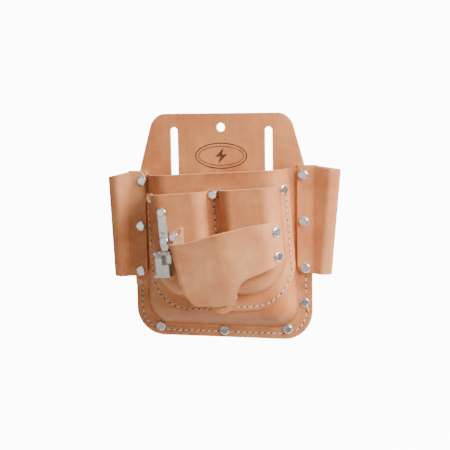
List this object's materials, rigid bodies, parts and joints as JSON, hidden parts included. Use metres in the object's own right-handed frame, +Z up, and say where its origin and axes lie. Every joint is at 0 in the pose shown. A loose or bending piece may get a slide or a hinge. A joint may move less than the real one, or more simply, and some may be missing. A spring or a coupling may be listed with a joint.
{
  "type": "electrician tool pouch",
  "caption": "Natural leather belt pouch with a main pocket, two tool compartments, pliers holster, side loops and a sprung tool snap.",
  "frame": {"origin": "centre of the hang hole in the belt tab, on the back panel's rear face", "axes": "+X to the viewer's right, front faces -Y, +Z up; the back panel's rear face lies in the XZ plane"},
  "size_m": [0.244, 0.0633, 0.2365],
  "materials": {
    "back_leather": "natural vegetable-tanned grain, satin",
    "pocket_leather": "natural vegetable-tanned grain, wet moulded, satin",
    "strap_leather": "natural vegetable-tanned grain, satin",
    "thread": "twisted waxed cord, matt",
    "nickel": "nickel plated, polished",
    "snap_steel": "nickel-plated spring steel, worn satin"
  },
  "bodies": {
    "pouch": {"back_panel": "back_leather", "bottom_rivet_caps": "nickel", "bottom_rivet_posts": "nickel", "divider_seam_thread": "thread", "holster_base_rivet_caps": "nickel", "holster_base_rivet_posts": "nickel", "holster_end_rivet_caps": "nickel", "holster_end_rivet_posts": "nickel", "holster_tab_rivet_caps": "nickel", "holster_tab_rivet_posts": "nickel", "left_loop_rivet_caps": "nickel", "left_loop_rivet_posts": "nickel", "left_side_loop": "pocket_leather", "main_pocket": "pocket_leather", "outer_seam_bobbin_thread": "thread", "outer_seam_thread": "thread", "pliers_holster": "strap_leather", "pocket_bobbin_thread": "thread", "pocket_rivet_caps": "nickel", "pocket_rivet_posts": "nickel", "pocket_seam_thread": "thread", "right_loop_rivet_caps": "nickel", "right_loop_rivet_posts": "nickel", "right_side_loop": "pocket_leather", "second_pocket": "pocket_leather", "snap_pin": "snap_steel", "snap_rivet_caps": "nickel", "snap_rivet_posts": "nickel", "snap_strip": "snap_steel"},
    "hook": {"snap_hook": "snap_steel", "gate_spring": "snap_steel"},
    "gate": {"snap_gate": "snap_steel"}
  },
  "joints": [
    {"name": "snap_swing", "type": "hinge", "parent": "pouch", "child": "hook", "pos_m": [-0.05072, -0.04881, -0.12477], "axis": [-0.9824, 0.1736, -0.0687], "range_deg": [0, 60]},
    {"name": "gate_press", "type": "hinge", "parent": "hook", "child": "gate", "pos_m": [-0.05072, -0.04881, -0.12477], "axis": [-0.9824, 0.1736, -0.0687], "range_deg": [-10, 0], "stiffness_Nm_per_rad": 0.02, "springref_deg": 5.73}
  ]
}
